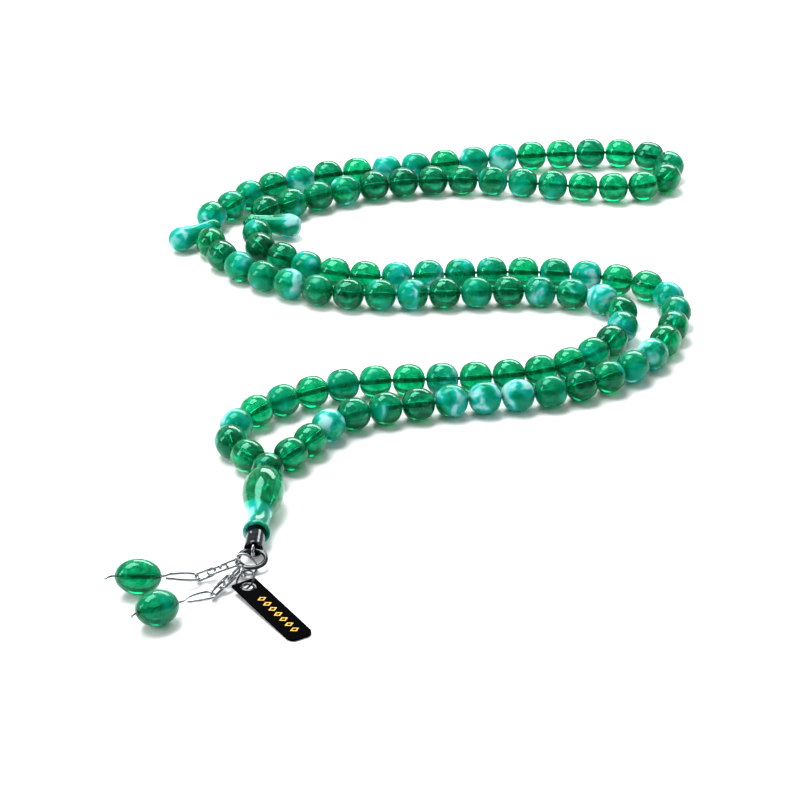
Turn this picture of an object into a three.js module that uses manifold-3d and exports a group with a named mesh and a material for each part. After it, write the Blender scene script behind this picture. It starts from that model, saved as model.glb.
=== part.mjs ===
// Misbaha (prayer beads): a closed string of ninety-nine beads in three sections, laid out on a
// surface as a double strand, with two pear separators, a gathering bead, the imame and its tassel.
// Millimetres, +Z up. The origin is on the surface, under the middle of the laid-out string.
// +X runs to the right along the strands, +Y from the tassel towards the far loop.
import * as THREE from "three";
import { mergeVertices } from "three/addons/utils/BufferGeometryUtils.js";
import Module from "manifold-3d";

const wasm = await Module();
wasm.setup();

// ---- Driving dimensions ----
const GAP = 0.3; // left between pieces that touch on the real string

const BEAD_R = 3.82;
const BEAD_HALF = 3.78; // half of a bead's length along its bore
const BEAD_PITCH = 7.9; // centre to centre, with the beads pushed together
const BEAD_BORE_R = 0.9;
const NECK_R = 1.3; // the flat round each mouth of the bore
const BEAD_SIDES = 8;
const BEADS_IN_SECTION = 33;
const GROUP = 4; // beads joined in one node

const CORD_R = 0.4;
const CORD_GAP = 0.15; // each cord end stops this far short of a fold line
const STRING_Z = BEAD_R; // the cord's height over the surface

const SEPARATOR = { neckR: 2.05, fatR: 3.1, length: 9.8, tip: 2.4, boreR: 0.8 };
const IMAME = { top: 0.35, length: 22.4, boreR: 1.15, socketR: 2.4, socketDepth: 2 };
const FERRULE = { r: 2.1, wall: 0.35, top: 20.7, end: 28.3, web: 25.6, webThick: 0.8, holeR: 0.6 };
const TAIL = { r: 0.8, start: 0.75, end: 21.6 };
const KNOT = { r: 1.4, start: 21.9, belly: 22.9, end: 24.8 };
const EYE = { ringR: 1.2, wireR: 0.38, centre: 28.6, stemR: 0.32 };
const RIVET = { r: 1.15, start: 25.05, end: 25.5 };

const SPLIT_RING = { ringR: 3, wireR: 0.5, hang: 28.4, slope: 0.17 };
const JUMP = { ringR: 2.6, wireR: 0.34 };
const LINK = { width: 1.9, wireR: 0.33, slack: 0.16 }; // slack: clear space between two linked wires
const LINKS_IN_CHAIN = 3;
const PIN = { wireR: 0.33, loopLength: 8.1, loopHalf: 1.5, tail: 2.6 };
const TASSEL_BEAD = { r: 3.85, half: 5.1, z: 3.95, boreR: 0.7 };

const TAG = { length: 24, width: 5.9, thick: 0.6, corner: 1.1, holeIn: 2.2, holeR: 1.3 };
const TAG_SEAT = { r: 1.75, depth: 0.22 }; // pressed into each face, so the eyelet ends up flush
const TAG_EYELET = { innerR: 1.02, sleeveR: 1.17, flangeR: 1.65, flange: 0.12, clear: 0.06 };
const TAG_RING = { wireR: 0.22, lean: -42 }; // lean: the turn about its own length, in degrees
const TAG_LINK = { width: 2.0, wireR: 0.28, slack: 0.3 };

// ---- Where things lie ----
// Each section's route over the surface, from its first bead to its last.
const LEFT_ROUTE = [
  [-40.5, -47.6], [-44.6, -41], [-43.6, -32.8], [-39, -26], [-32.6, -20.6], [-18, -13],
  [-2.3, -10.9], [13.5, -9.6], [29.2, -5.6], [42, 4.6], [48.4, 18.4], [47.2, 26.8],
  [42.2, 31.8], [26.6, 35.3], [10.5, 34.7], [-5.3, 33.6], [-21, 34.3], [-35, 40.4],
  [-46, 48.9], [-51, 55.6], [-54.4, 64],
];
const RIGHT_ROUTE = [
  [-30.8, -46.8], [-26.4, -40], [-22.4, -33.2], [-16.6, -27.8], [-1.1, -22.8], [14.5, -19.8],
  [30.4, -16.4], [45.2, -8], [55.4, 3.8], [60.8, 19], [61.2, 27.8], [58.6, 35.2],
  [52.2, 40.2], [37.4, 44.6], [21.6, 46], [5.5, 44.9], [-10, 43.2], [-24.6, 46.6],
  [-36.2, 54.8], [-41.6, 60.4], [-42.4, 67.8],
];
const FAR_ROUTE = [
  [-54.4, 78.2], [-49.6, 84.6], [-45, 91.2], [-39.1, 96.4], [-24.6, 103.4], [-9.2, 106.6],
  [6.3, 110.4], [22, 114.2], [37.9, 116.6], [53.6, 117], [62.8, 113.6], [65.8, 105.4],
  [60.4, 97.8], [50.4, 95.6], [34.2, 97.2], [18.9, 99.6], [3.4, 100], [-12, 97],
  [-25, 91.6], [-33.4, 86.4], [-38.6, 81.8],
];
const GATHERING_AT = new THREE.Vector3(-35.8, -54.1, 4.1);
const IMAME_AT = new THREE.Vector3(-36, -58.6, 5.45); // the cord between gathering bead and imame
const IMAME_ALONG = new THREE.Vector3(-0.067, -0.992, -0.104).normalize();

const LEFT_SEPARATOR = {
  hole: new THREE.Vector3(-54, 71.6, STRING_Z),
  fat: new THREE.Vector3(-61.8, 65.7, 3.35),
  bore: new THREE.Vector3(-0.42, 0.91, 0).normalize(),
};
const RIGHT_SEPARATOR = {
  hole: new THREE.Vector3(-44, 74.6, STRING_Z),
  fat: new THREE.Vector3(-34.2, 73.7, 3.35),
  bore: new THREE.Vector3(0.09, 0.996, 0).normalize(),
};

// The jump ring leans across the front wire of the split ring. Turns round it are in degrees:
// 90 is its lowest point, 180 its left side.
const JUMP_AT = new THREE.Vector3(-39.28, -92.34, 2.04);
const JUMP_FACING = new THREE.Vector3(0.55, -0.3, 0.78).normalize();
const FIRST_LINK_TURN = [170, 130];
const TAG_LINK_TURN = 100;
const LOOP_TIP = [
  new THREE.Vector3(-49.3, -96.3, 1.35),
  new THREE.Vector3(-45.9, -103.2, 1.35),
];
const TASSEL_BEAD_AT = [
  new THREE.Vector3(-62.1, -100.4, TASSEL_BEAD.z),
  new THREE.Vector3(-57.3, -113.2, TASSEL_BEAD.z),
];
const TAG_HOLE = new THREE.Vector3(-38.5, -101.1, 1.6);
const TAG_ALONG = new THREE.Vector3(0.55, -0.835, 0).normalize();
const TAG_RING_TOP = new THREE.Vector3(-40, -96.8, 2.6);

const MIDDLE_FOLD_AFTER = { left: 17, right: 16 }; // beads on the near side of the middle fold

// ---- Materials ----
const finish = (color, roughness, metalness) =>
  new THREE.MeshStandardMaterial({ color, roughness, metalness });
const CLEAR_GREEN = finish(0x0a7d4c, 0.12, 0);
const MILKY_GREEN = finish(0x17b795, 0.2, 0);
const CORD_GREEN = finish(0x1f6b4a, 0.8, 0);
const CHROME = finish(0xd2d5d8, 0.12, 1);
const BLACK_WIRE = finish(0x141414, 0.35, 0.6);
const TAG_BLACK = finish(0x101010, 0.4, 0);

const UP = new THREE.Vector3(0, 0, 1);
const part = new THREE.Group();

// ---- Helpers ----
function place(name, geometry, material, parent = part) {
  const mesh = new THREE.Mesh(geometry, material);
  mesh.name = name;
  parent.add(mesh);
  return mesh;
}

// A group at a point whose local axes are the three given directions.
function frameAt(at, x, y, z, parent = part) {
  const group = new THREE.Group();
  group.position.copy(at);
  group.quaternion.setFromRotationMatrix(new THREE.Matrix4().makeBasis(x, y, z));
  parent.add(group);
  return group;
}

// A group whose +Y points along a direction, with its +X level.
function frameAlong(at, along, parent = part) {
  const y = along.clone().normalize();
  const x = new THREE.Vector3().crossVectors(y, UP).normalize();
  const z = new THREE.Vector3().crossVectors(x, y);
  return frameAt(at, x, y, z, parent);
}

function solid(geometry, matrix = new THREE.Matrix4()) {
  const plain = geometry.clone().applyMatrix4(matrix);
  plain.deleteAttribute("normal");
  plain.deleteAttribute("uv");
  const merged = mergeVertices(plain, 1e-4);
  return new wasm.Manifold(
    new wasm.Mesh({
      numProp: 3,
      vertProperties: merged.attributes.position.array,
      triVerts: new Uint32Array(merged.index.array),
    }),
  );
}

function fromSolid(manifold) {
  const mesh = manifold.getMesh();
  const geometry = new THREE.BufferGeometry();
  geometry.setAttribute("position", new THREE.BufferAttribute(mesh.vertProperties, 3));
  geometry.setIndex(new THREE.BufferAttribute(mesh.triVerts, 1));
  geometry.computeVertexNormals();
  return geometry;
}

// A turned piece from [radius, height] pairs; a closed outline comes back to its first pair.
function turned(outline, sides) {
  return new THREE.LatheGeometry(outline.map(([r, y]) => new THREE.Vector2(r, y)), sides);
}

// A closed skin through rings of the same number of points, the last joined to the first.
function skin(rings) {
  const sides = rings[0].length;
  const points = rings.flat().flatMap((p) => [p.x, p.y, p.z]);
  const faces = [];
  rings.forEach((_, i) => {
    const next = (i + 1) % rings.length;
    for (let k = 0; k < sides; k++) {
      const after = (k + 1) % sides;
      const [a, b] = [i * sides + k, i * sides + after];
      const [c, d] = [next * sides + after, next * sides + k];
      faces.push(a, b, c, a, c, d);
    }
  });
  const geometry = new THREE.BufferGeometry();
  geometry.setAttribute("position", new THREE.Float32BufferAttribute(points, 3));
  geometry.setIndex(faces);
  geometry.computeVertexNormals();
  return geometry;
}

// ---- The string: bead places, then the beads and the cord ----
// Beads lie on the route a fixed straight distance apart, so round a bend they never run together.
function beadPlaces(route) {
  const curve = new THREE.CatmullRomCurve3(
    route.map(([x, y]) => new THREE.Vector3(x, y, STRING_Z)),
    false,
    "centripetal",
  );
  const walk = curve.getSpacedPoints(6000);
  const places = [walk[0]];
  for (const point of walk) {
    if (places.length === BEADS_IN_SECTION) break;
    if (point.distanceTo(places.at(-1)) >= BEAD_PITCH) places.push(point);
  }
  while (places.length < BEADS_IN_SECTION) {
    const ahead = places.at(-1).clone().sub(places.at(-2)).normalize();
    places.push(places.at(-1).clone().addScaledVector(ahead, BEAD_PITCH));
  }
  return places;
}

// A bead's own axis points from the one before it to the one after it.
function beadAxes(places, before, after) {
  const chain = [before, ...places, after];
  return places.map((_, i) => chain[i + 2].clone().sub(chain[i]).normalize());
}

function ring(centre, axis, radius) {
  const across = new THREE.Vector3().crossVectors(UP, axis).normalize();
  return Array.from({ length: BEAD_SIDES }, (_, k) => {
    const turn = (2 * Math.PI * (k + 0.5)) / BEAD_SIDES;
    return centre
      .clone()
      .addScaledVector(across, radius * Math.cos(turn))
      .addScaledVector(UP, radius * Math.sin(turn));
  });
}

// The three rings that give a bead its round side: shoulder, belly, shoulder.
const BEAD_RINGS = [-0.7, 0, 0.7].map((at) => ({
  along: at * BEAD_R,
  r: BEAD_R * Math.sqrt(1 - at * at),
}));

// Neighbouring beads with a collar between them, bored through for the cord.
function beadGroup(places, axes) {
  const outer = [];
  const bore = [];
  const mouth = (i, side) => places[i].clone().addScaledVector(axes[i], side * BEAD_HALF);
  places.forEach((centre, i) => {
    const joined = i > 0;
    const at = joined ? mouth(i - 1, 1).lerp(mouth(i, -1), 0.5) : mouth(i, -1);
    const facing = joined ? axes[i - 1].clone().add(axes[i]).normalize() : axes[i];
    outer.push(ring(at, facing, NECK_R));
    bore.unshift(ring(at, facing, BEAD_BORE_R));
    for (const { along, r } of BEAD_RINGS)
      outer.push(ring(centre.clone().addScaledVector(axes[i], along), axes[i], r));
  });
  const last = places.length - 1;
  outer.push(ring(mouth(last, 1), axes[last], NECK_R));
  bore.unshift(ring(mouth(last, 1), axes[last], BEAD_BORE_R));
  return skin([...outer, ...bore]);
}

const two = (n) => String(n).padStart(2, "0");

function placeBeads(section, places, axes) {
  let first = 1;
  while (first <= BEADS_IN_SECTION) {
    const alone = first === MIDDLE_FOLD_AFTER.right + 1;
    const last = alone ? first : first + GROUP - 1;
    const name = alone
      ? `${section}_bead_${two(first)}`
      : `${section}_beads_${two(first)}_to_${two(last)}`;
    const geometry = beadGroup(places.slice(first - 1, last), axes.slice(first - 1, last));
    place(name, geometry, alone ? MILKY_GREEN : CLEAR_GREEN);
    first = last + 1;
  }
}

// A cord runs straight through each bead and bends between beads, so its curve is a chain of lines.
class BeadString extends THREE.Curve {
  constructor(points) {
    super();
    this.points = points;
  }
  getPoint(t) {
    const along = Math.min(Math.max(t, 0), 1) * (this.points.length - 1);
    const i = Math.min(Math.floor(along), this.points.length - 2);
    return this.points[i].clone().lerp(this.points[i + 1], along - i);
  }
  getPointAt(t) {
    return this.getPoint(t);
  }
  getTangentAt(t) {
    return this.getTangent(t);
  }
}

function wire(curve, radius, steps, roundness) {
  const section = new THREE.Shape().absarc(0, 0, radius, 0, 2 * Math.PI);
  const options = { steps, extrudePath: curve, curveSegments: roundness };
  return new THREE.ExtrudeGeometry(section, options);
}

function placeCord(name, points) {
  place(name, wire(new BeadString(points), CORD_R, points.length - 1, 4), CORD_GREEN);
}

// Where the cord bends between bead i and the next one.
function bendAfter(places, axes, i) {
  const leave = places[i].clone().addScaledVector(axes[i], BEAD_HALF);
  const enter = places[i + 1].clone().addScaledVector(axes[i + 1], -BEAD_HALF);
  return leave.lerp(enter, 0.5);
}

function bends(places, axes, from, to) {
  return Array.from({ length: to - from }, (_, i) => bendAfter(places, axes, from + i - 1));
}

const short = (end, towards, by) =>
  end.clone().addScaledVector(towards.clone().sub(end).normalize(), by);

const boreMouth = (separator, side) =>
  separator.hole.clone().addScaledVector(separator.bore, side * (SEPARATOR.neckR + GAP));

function sectionOf(route, before, after) {
  const places = beadPlaces(route);
  return { places, axes: beadAxes(places, before, after) };
}

const gatheringAlong = IMAME_AT.clone().sub(GATHERING_AT).normalize();
const gatheringMouth = GATHERING_AT.clone().addScaledVector(gatheringAlong, -BEAD_HALF - GAP);

function nearAndMiddleCords(side, route, separator, offset) {
  const { places, axes } = sectionOf(route, gatheringMouth, boreMouth(separator, -1));
  placeBeads(side, places, axes);
  const fold = MIDDLE_FOLD_AFTER[side];
  const foldPoint = bendAfter(places, axes, fold - 1);
  // Both strands pass side by side through the gathering bead.
  const beside = new THREE.Vector3(offset, 0, 0);
  const out = GATHERING_AT.clone().addScaledVector(gatheringAlong, BEAD_HALF + GAP);
  const near = [
    out.add(beside),
    gatheringMouth.clone().add(beside),
    places[0].clone().addScaledVector(axes[0], -BEAD_HALF),
    ...bends(places, axes, 1, fold),
  ];
  placeCord(`cord_${side}_near`, [...near, short(foldPoint, near.at(-1), CORD_GAP)]);
  const onward = bends(places, axes, fold + 1, BEADS_IN_SECTION);
  const lastMouth = places.at(-1).clone().addScaledVector(axes.at(-1), BEAD_HALF);
  const [enter, leave] = [boreMouth(separator, -1), boreMouth(separator, 1)];
  placeCord(`cord_${side}_middle`, [
    short(foldPoint, onward[0], CORD_GAP),
    ...onward,
    lastMouth,
    enter,
    short(leave, enter, CORD_GAP),
  ]);
}

nearAndMiddleCords("left", LEFT_ROUTE, LEFT_SEPARATOR, -0.56);
nearAndMiddleCords("right", RIGHT_ROUTE, RIGHT_SEPARATOR, 0.56);

function farLoop() {
  const [start, end] = [boreMouth(LEFT_SEPARATOR, 1), boreMouth(RIGHT_SEPARATOR, 1)];
  const { places, axes } = sectionOf(FAR_ROUTE, start, end);
  placeBeads("far", places, axes);
  const enter = places[0].clone().addScaledVector(axes[0], -BEAD_HALF);
  const leave = places.at(-1).clone().addScaledVector(axes.at(-1), BEAD_HALF);
  placeCord("cord_far", [
    short(start, enter, CORD_GAP),
    enter,
    ...bends(places, axes, 1, BEADS_IN_SECTION),
    leave,
    short(end, leave, CORD_GAP),
  ]);
}
farLoop();

// ---- Separators: pears bored crosswise through the narrow end ----
function separator(name, { hole, fat, bore }) {
  const { neckR, fatR, length, tip, boreR } = SEPARATOR;
  const pear = turned(
    [
      [0, -tip], [neckR * 0.66, -tip * 0.78], [neckR, -0.5], [neckR + 0.02, 2], [2.3, 5],
      [2.85, 7.6], [fatR, length], [2.45, length + 1.9], [1.2, length + 2.8], [0, length + fatR],
    ],
    14,
  );
  const group = frameAlong(hole, fat.clone().sub(hole));
  group.updateMatrixWorld(true);
  const level = bore.clone().applyQuaternion(group.quaternion.clone().invert());
  const drill = new THREE.CylinderGeometry(boreR, boreR, 4 * neckR, 10);
  const turn = new THREE.Quaternion().setFromUnitVectors(new THREE.Vector3(0, 1, 0), level);
  const cut = solid(pear).subtract(solid(drill, new THREE.Matrix4().makeRotationFromQuaternion(turn)));
  place(name, fromSolid(cut), MILKY_GREEN, group);
}
separator("separator_left", LEFT_SEPARATOR);
separator("separator_right", RIGHT_SEPARATOR);

// ---- Gathering bead ----
place(
  "gathering_bead",
  turned(
    [
      [1.35, -BEAD_HALF], [2.1, -3.4], [3.25, -2.2], [BEAD_R, 0], [3.25, 2.2], [2.1, 3.4],
      [1.35, BEAD_HALF], [1.25, BEAD_HALF], [1.25, -BEAD_HALF], [1.35, -BEAD_HALF],
    ],
    12,
  ),
  CLEAR_GREEN,
  frameAlong(GATHERING_AT, gatheringAlong),
);

// ---- Imame and ferrule, all turned about one axis ----
const imameFrame = frameAlong(IMAME_AT, IMAME_ALONG);

function imame() {
  const { top, length, boreR, socketR, socketDepth } = IMAME;
  const socket = length - socketDepth;
  place(
    "imame",
    turned(
      [
        [1.7, top], [3.3, 1.3], [4.4, 3.7], [4.7, 6.9], [4.4, 9.6], [3.6, 12.4], [2.9, 14.9],
        [2.6, 17.2], [2.65, 19.6], [3.05, length - 0.5], [3.0, length], [socketR, length],
        [socketR, socket], [boreR, socket - 0.6], [boreR, top], [1.7, top],
      ],
      18,
    ),
    CLEAR_GREEN,
    imameFrame,
  );
}
imame();

place(
  "tail_cord",
  turned([[0, TAIL.start], [TAIL.r, TAIL.start], [TAIL.r, TAIL.end], [0, TAIL.end]], 8),
  CORD_GREEN,
  imameFrame,
);
place(
  "cord_knot",
  turned(
    [
      [0, KNOT.start], [KNOT.r * 0.7, KNOT.start + 0.2], [KNOT.r, KNOT.belly],
      [KNOT.r * 0.9, KNOT.end - 0.7], [KNOT.r * 0.45, KNOT.end], [0, KNOT.end],
    ],
    8,
  ),
  CORD_GREEN,
  imameFrame,
);

function ferrule() {
  const { r, wall, top, end, web, webThick, holeR } = FERRULE;
  const inner = r - wall;
  place(
    "ferrule",
    turned(
      [
        [inner, top], [r, top], [r, end - 0.2], [r - 0.15, end], [inner, end],
        [inner, web + webThick], [holeR, web + webThick], [holeR, web], [inner, web], [inner, top],
      ],
      14,
    ),
    CHROME,
    imameFrame,
  );
}
ferrule();

function ferruleEye() {
  const { ringR, wireR, centre, stemR } = EYE;
  const stemEnd = centre - ringR;
  const rivet = turned(
    [
      [0, RIVET.start], [RIVET.r, RIVET.start], [RIVET.r, RIVET.end], [stemR, RIVET.end],
      [stemR, stemEnd], [0, stemEnd],
    ],
    8,
  );
  const upright = new THREE.Matrix4()
    .makeTranslation(0, centre, 0)
    .multiply(new THREE.Matrix4().makeRotationY(Math.PI / 2));
  const loop = new THREE.TorusGeometry(ringR, wireR, 7, 16);
  place("ferrule_eye", fromSolid(solid(rivet).add(solid(loop, upright))), CHROME, imameFrame);
}
ferruleEye();

// ---- Rings and links ----
// A stadium outline: two straight sides joined by half circles, centred on its own origin.
class Stadium extends THREE.Curve {
  constructor(length, width) {
    super();
    this.bend = width / 2;
    this.side = length - width;
  }
  getPoint(t) {
    const around = 2 * Math.PI * this.bend + 2 * this.side;
    let s = (t % 1) * around;
    const half = Math.PI * this.bend;
    const flip = s >= around / 2 ? -1 : 1;
    if (flip < 0) s -= around / 2;
    const turn = Math.min(s, half) / this.bend - Math.PI / 2;
    const x = this.side / 2 + this.bend * Math.cos(turn) - Math.max(0, s - half);
    const y = this.bend * Math.sin(turn);
    return new THREE.Vector3(x * flip, y * flip, 0);
  }
}

const loopOf = (length, width, wireR) =>
  new THREE.TubeGeometry(new Stadium(length, width), 16, wireR, 6, true);

// The split ring hangs in the eye, half inside the ferrule's open end, and slopes down from it.
const ringLevel = new THREE.Vector3().crossVectors(UP, IMAME_ALONG).normalize();
const ringDown = new THREE.Vector3(IMAME_ALONG.x, IMAME_ALONG.y, -SPLIT_RING.slope).normalize();
const splitRingCentre = IMAME_AT.clone()
  .addScaledVector(IMAME_ALONG, SPLIT_RING.hang)
  .addScaledVector(ringDown, SPLIT_RING.ringR);
place(
  "split_ring",
  new THREE.TorusGeometry(SPLIT_RING.ringR, SPLIT_RING.wireR, 7, 24),
  CHROME,
  frameAt(splitRingCentre, ringLevel, ringDown, new THREE.Vector3().crossVectors(ringLevel, ringDown)),
);

const jumpRight = new THREE.Vector3(1, 0, 0).projectOnPlane(JUMP_FACING).normalize();
const jumpDown = new THREE.Vector3().crossVectors(jumpRight, JUMP_FACING);
place(
  "jump_ring",
  new THREE.TorusGeometry(JUMP.ringR, JUMP.wireR, 7, 20),
  CHROME,
  frameAt(JUMP_AT, jumpRight, jumpDown, new THREE.Vector3().crossVectors(jumpRight, jumpDown)),
);

// A point of the jump ring's wire, and the wire's own direction there.
function onJumpRing(degrees) {
  const turn = THREE.MathUtils.degToRad(degrees);
  return JUMP_AT.clone()
    .addScaledVector(jumpRight, JUMP.ringR * Math.cos(turn))
    .addScaledVector(jumpDown, JUMP.ringR * Math.sin(turn));
}

const jumpWireAt = (degrees) => onJumpRing(degrees + 90).sub(JUMP_AT).normalize();

// A link whose near end goes round the wire at `from` and lies towards `to`, its hole facing `facing`.
function placeLink(name, from, to, size, hookedWireR, facing) {
  const x = to.clone().sub(from).normalize();
  const z = facing.clone().addScaledVector(x, -facing.dot(x)).normalize();
  const y = new THREE.Vector3().crossVectors(z, x);
  const hook = hookedWireR + size.wireR + size.slack;
  const centre = from.clone().addScaledVector(x, size.length / 2 - hook);
  place(name, loopOf(size.length, size.width, size.wireR), CHROME, frameAt(centre, x, y, z));
}

// Each chain: link on edge, link flat, link on edge, then the eye pin's loop, then the bead.
// The first link turns half-way from upright to face along the jump ring's wire.
function chain(number, turn, tip, beadAt) {
  const start = onJumpRing(turn);
  const along = tip.clone().sub(start);
  const onEdge = new THREE.Vector3().crossVectors(along, UP).normalize();
  const facings = [onEdge.clone().add(jumpWireAt(turn)), UP, onEdge];
  for (let i = 0; i < LINKS_IN_CHAIN; i++) {
    const from = start.clone().addScaledVector(along, i / LINKS_IN_CHAIN);
    const to = start.clone().addScaledVector(along, (i + 1) / LINKS_IN_CHAIN);
    const hookedWireR = i === 0 ? JUMP.wireR : LINK.wireR;
    const ends = hookedWireR + 3 * LINK.wireR + 2 * LINK.slack;
    const size = { ...LINK, length: from.distanceTo(to) + ends };
    placeLink(`chain_${number}_link_${i + 1}`, from, to, size, hookedWireR, facings[i]);
  }
  eyePin(number, tip, beadAt);
}

// An eye pin: a long loop, a straight stem through the bead, and a curled tail.
// Its frame is at the bead's centre with +Y along the stem towards the loop.
function eyePin(number, tip, beadAt) {
  const { wireR, loopLength, loopHalf, tail } = PIN;
  const frame = frameAlong(beadAt, tip.clone().sub(beadAt));
  const tipAt = tip.distanceTo(beadAt);
  const neck = tipAt - loopLength;
  const out = -TASSEL_BEAD.half;
  const path = new THREE.CatmullRomCurve3(
    [
      [0.75, neck + 0.35], [loopHalf * 0.72, neck + 1.9], [loopHalf, tipAt - 2.4],
      [loopHalf * 0.8, tipAt - 0.7], [0, tipAt], [-loopHalf * 0.8, tipAt - 0.7],
      [-loopHalf, tipAt - 2.4], [-loopHalf * 0.72, neck + 1.9], [-0.2, neck + 0.1],
      [0, neck - 1.2], [0, 0], [0, out], [0, out - 0.9], [0.45, out - 1.9], [1.15, out - tail],
    ].map(([x, y]) => new THREE.Vector3(x, y, 0)),
    false,
    "centripetal",
  );
  place(`eye_pin_${number}`, wire(path, wireR, 40, 3), CHROME, frame);
  const { r, half, boreR } = TASSEL_BEAD;
  place(
    `tassel_bead_${number}`,
    turned(
      [
        [boreR, -half], [1.2, -half], [2.75, -3.6], [3.6, -1.8], [r, 0], [3.6, 1.8],
        [2.75, 3.6], [1.2, half], [boreR, half], [boreR, -half],
      ],
      12,
    ),
    CLEAR_GREEN,
    frame,
  );
}
chain(1, FIRST_LINK_TURN[0], LOOP_TIP[0], TASSEL_BEAD_AT[0]);
chain(2, FIRST_LINK_TURN[1], LOOP_TIP[1], TASSEL_BEAD_AT[1]);

// ---- Tag: a small link, a black wire ring and a flat plate with an eyelet ----
function tag() {
  // The ring goes round the small link at its top and down through the eyelet.
  const down = TAG_HOLE.clone().sub(TAG_RING_TOP).normalize();
  const level = new THREE.Vector3().crossVectors(down, UP).normalize();
  const lean = THREE.MathUtils.degToRad(TAG_RING.lean);
  const across = level
    .clone()
    .multiplyScalar(Math.cos(lean))
    .addScaledVector(new THREE.Vector3().crossVectors(level, down), Math.sin(lean));
  const middle = TAG_RING_TOP.clone().lerp(TAG_HOLE, 0.5);
  place(
    "tag_ring",
    new THREE.TorusGeometry(middle.distanceTo(TAG_HOLE), TAG_RING.wireR, 6, 20),
    BLACK_WIRE,
    frameAt(middle, across, down, new THREE.Vector3().crossVectors(across, down)),
  );

  const start = onJumpRing(TAG_LINK_TURN);
  const ends = JUMP.wireR + TAG_RING.wireR + 2 * (TAG_LINK.wireR + TAG_LINK.slack);
  const size = { ...TAG_LINK, length: start.distanceTo(TAG_RING_TOP) + ends };
  const facing = across.clone().add(jumpWireAt(TAG_LINK_TURN));
  placeLink("tag_link", start, TAG_RING_TOP, size, JUMP.wireR, facing);

  // The plate leans from the ring down to the surface at its far end.
  const { length, width, thick, corner, holeIn, holeR } = TAG;
  const drop = (TAG_HOLE.z - thick / 2) / (length - holeIn);
  const x = new THREE.Vector3(TAG_ALONG.x, TAG_ALONG.y, -drop).normalize();
  const y = new THREE.Vector3().crossVectors(UP, x).normalize();
  const frame = frameAt(TAG_HOLE, x, y, new THREE.Vector3().crossVectors(x, y));
  const [w, l0, l1] = [width / 2, -holeIn, length - holeIn];
  const outline = new THREE.Shape()
    .moveTo(l0 + corner, -w)
    .lineTo(l1 - corner, -w)
    .absarc(l1 - corner, -w + corner, corner, -Math.PI / 2, 0)
    .absarc(l1 - corner, w - corner, corner, 0, Math.PI / 2)
    .absarc(l0 + corner, w - corner, corner, Math.PI / 2, Math.PI)
    .absarc(l0 + corner, -w + corner, corner, Math.PI, 1.5 * Math.PI);
  outline.holes.push(new THREE.Path().absarc(0, 0, holeR, 0, 2 * Math.PI, true));
  const plate = new THREE.ExtrudeGeometry(outline, {
    depth: thick,
    bevelEnabled: false,
    curveSegments: 6,
  });
  plate.translate(0, 0, -thick / 2);
  const seatDepth = TAG_SEAT.depth;
  const seat = new THREE.CylinderGeometry(TAG_SEAT.r, TAG_SEAT.r, 2 * seatDepth, 24);
  seat.rotateX(Math.PI / 2);
  const [above, below] = [thick / 2, -thick / 2].map((z) =>
    solid(seat, new THREE.Matrix4().makeTranslation(0, 0, z)),
  );
  place("tag_plate", fromSolid(solid(plate).subtract(above).subtract(below)), TAG_BLACK, frame);

  const { innerR, sleeveR, flangeR, flange, clear } = TAG_EYELET;
  const inside = thick / 2 - seatDepth + clear;
  const outside = inside + flange;
  const eyelet = turned(
    [
      [innerR, -outside], [flangeR, -outside], [flangeR, -inside], [sleeveR, -inside],
      [sleeveR, inside], [flangeR, inside], [flangeR, outside], [innerR, outside],
      [innerR, -outside],
    ],
    14,
  );
  eyelet.rotateX(Math.PI / 2);
  place("tag_eyelet", eyelet, CHROME, frame);
}
tag();

export default part;
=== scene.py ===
"""Looks for the misbaha: a string of ninety-nine marbled resin beads with its imame and tassel.

Lengths are in millimetres until a mesh is made. +X runs to the right along the strands, +Y from
the tassel to the far loop, +Z up from the surface that the string lies on.
"""

import math

import bmesh
import bpy
from mathutils import Matrix, Quaternion, Vector


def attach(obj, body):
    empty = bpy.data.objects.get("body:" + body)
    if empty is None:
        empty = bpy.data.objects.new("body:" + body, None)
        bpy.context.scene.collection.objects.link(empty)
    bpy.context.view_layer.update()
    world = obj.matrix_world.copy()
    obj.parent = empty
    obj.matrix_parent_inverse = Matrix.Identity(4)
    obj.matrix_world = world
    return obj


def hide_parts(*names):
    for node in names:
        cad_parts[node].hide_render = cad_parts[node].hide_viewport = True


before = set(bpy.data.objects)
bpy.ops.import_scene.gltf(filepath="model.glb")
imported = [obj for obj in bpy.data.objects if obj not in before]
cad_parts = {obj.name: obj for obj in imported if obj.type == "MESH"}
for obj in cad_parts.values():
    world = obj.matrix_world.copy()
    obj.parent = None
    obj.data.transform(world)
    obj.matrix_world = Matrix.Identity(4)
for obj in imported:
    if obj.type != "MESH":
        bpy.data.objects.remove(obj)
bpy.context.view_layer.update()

MM = 0.001
UP = Vector((0, 0, 1))

# ---- Camera ----
camera_data = bpy.data.cameras.new("camera")
camera_data.lens = 164.25
camera_data.sensor_width = 36
camera_data.clip_end = 20
camera = bpy.data.objects.new("camera", camera_data)
camera.location = (-0.006, -0.7698, 0.4104)
camera.rotation_euler = (math.radians(61.5), 0, 0)
bpy.context.scene.collection.objects.link(camera)
bpy.context.scene.camera = camera

# ---- Driving sizes ----
GAP = 0.3
BEAD_R = 3.83
BEAD_HALF = 3.78
BEAD_PITCH = 7.9
BEAD_BORE_R = 0.5
BEAD_REACH = 3.88  # half of a bead's length
BEAD_FULLNESS = 2.3  # 2 is an ellipse; more fills the shoulders
BEADS_IN_SECTION = 33
STRING_Z = 3.82
CORD_R = 0.4
FOLD_GAP = 0.05
STRAND_OFFSET = 0.56
WALK_STEPS = 6000
ARC_STEPS = 200

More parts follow.
